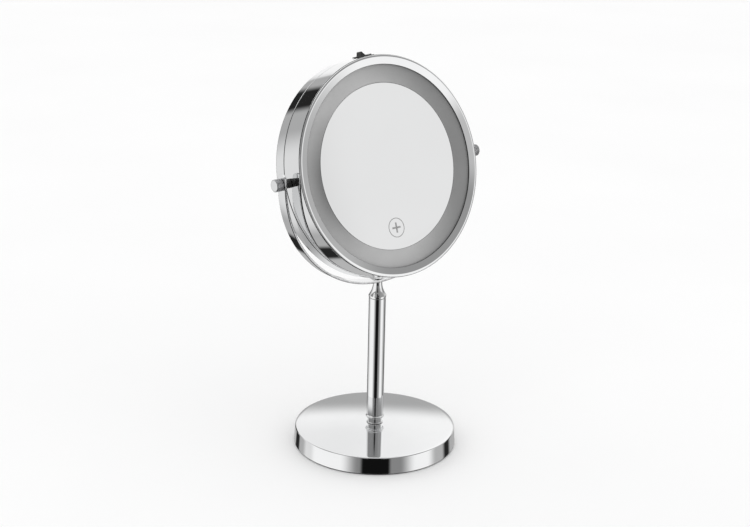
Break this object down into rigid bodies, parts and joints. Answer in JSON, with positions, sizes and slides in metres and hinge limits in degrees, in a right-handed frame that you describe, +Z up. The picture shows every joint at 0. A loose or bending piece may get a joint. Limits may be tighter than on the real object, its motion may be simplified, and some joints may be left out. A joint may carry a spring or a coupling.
{
  "type": "lighted vanity mirror",
  "caption": "Table-top vanity mirror: a two-sided round lighted head with a frosted light ring tilts in a half-round chrome yoke on a slim stem and weighted round base.",
  "frame": {"origin": "centre of the base's underside, on the surface that the mirror stands on", "axes": "+Z up along the stem, -Y towards the user on the lit magnifying side, X along the head's tilt axis, +X to the user's right"},
  "size_m": [0.2084, 0.1378, 0.3334],
  "materials": {
    "chrome": "bright polished chrome plate",
    "knurled_chrome": "chrome plate, diamond knurl with a brushed end",
    "mirror": "silvered glass",
    "frosted_glass": "satin etched glass",
    "black_plastic": "black moulded nylon, satin",
    "white_plastic": "white moulded ABS, satin",
    "zinc_steel": "zinc plated",
    "cast_iron": "rough cast, painted dark grey",
    "brass": "turned",
    "foam": "closed-cell foam, matt",
    "board": "white solder mask",
    "led": "white chip with yellow phosphor",
    "cell_label": "plain printed sleeve",
    "nickel": "nickel plated",
    "wire_red": "insulation",
    "wire_black": "insulation",
    "wire_white": "insulation"
  },
  "bodies": {
    "stand": {"base_cover": "chrome", "base_weight": "cast_iron", "base_pad": "foam", "base_bolt": "zinc_steel", "base_washer": "zinc_steel", "stem_foot": "chrome", "stem_tube": "chrome", "stem_neck": "chrome", "yoke": "chrome", "yoke_screw": "chrome"},
    "head": {"side_band": "chrome", "front_bezel": "chrome", "front_mirror": "mirror", "frosted_ring": "frosted_glass", "reflector_tray": "white_plastic", "led_board": "board", "led_01": "led", "led_02": "led", "led_03": "led", "led_04": "led", "led_05": "led", "led_06": "led", "led_07": "led", "led_08": "led", "led_09": "led", "led_10": "led", "led_11": "led", "led_12": "led", "chassis": "white_plastic", "chassis_screw_1": "zinc_steel", "chassis_screw_2": "zinc_steel", "chassis_screw_3": "zinc_steel", "battery_1": "cell_label", "battery_2": "cell_label", "battery_3": "cell_label", "battery_4": "cell_label", "contact_top_left": "nickel", "contact_top_right": "nickel", "contact_bottom_left": "nickel", "contact_bottom_middle": "nickel", "contact_bottom_right": "nickel", "switch_body": "black_plastic", "switch_terminal_left": "brass", "switch_terminal_right": "brass", "wire_red": "wire_red", "wire_black": "wire_black", "wire_white": "wire_white", "left_pivot_nut": "brass", "left_spacer": "black_plastic", "right_pivot_nut": "brass", "right_spacer": "black_plastic"},
    "rear_cover": {"rear_bezel": "chrome", "rear_mirror": "mirror", "rear_plate": "white_plastic"},
    "left_knob": {"left_knob": "knurled_chrome", "left_pivot_screw": "zinc_steel"},
    "right_knob": {"right_knob": "knurled_chrome", "right_pivot_screw": "zinc_steel"},
    "rocker": {"rocker": "black_plastic"}
  },
  "joints": [
    {"name": "head_tilt", "type": "hinge", "parent": "stand", "child": "head", "pos_m": [0, 0, 0.242], "axis": [1, 0, 0], "continuous": true},
    {"name": "rear_cover_twist", "type": "hinge", "parent": "head", "child": "rear_cover", "pos_m": [0, 0, 0.242], "axis": [0, 0.9613, -0.2756], "range_deg": [0, 20]},
    {"name": "left_knob_turn", "type": "hinge", "parent": "head", "child": "left_knob", "pos_m": [-0.1, 0, 0.242], "axis": [-1, 0, 0], "range_deg": [0, 270]},
    {"name": "right_knob_turn", "type": "hinge", "parent": "head", "child": "right_knob", "pos_m": [0.1, 0, 0.242], "axis": [1, 0, 0], "range_deg": [0, 270]},
    {"name": "rocker_press", "type": "hinge", "parent": "head", "child": "rocker", "pos_m": [0, 0.02439, 0.32707], "axis": [0, 0.9613, -0.2756], "range_deg": [-30, 0]}
  ]
}
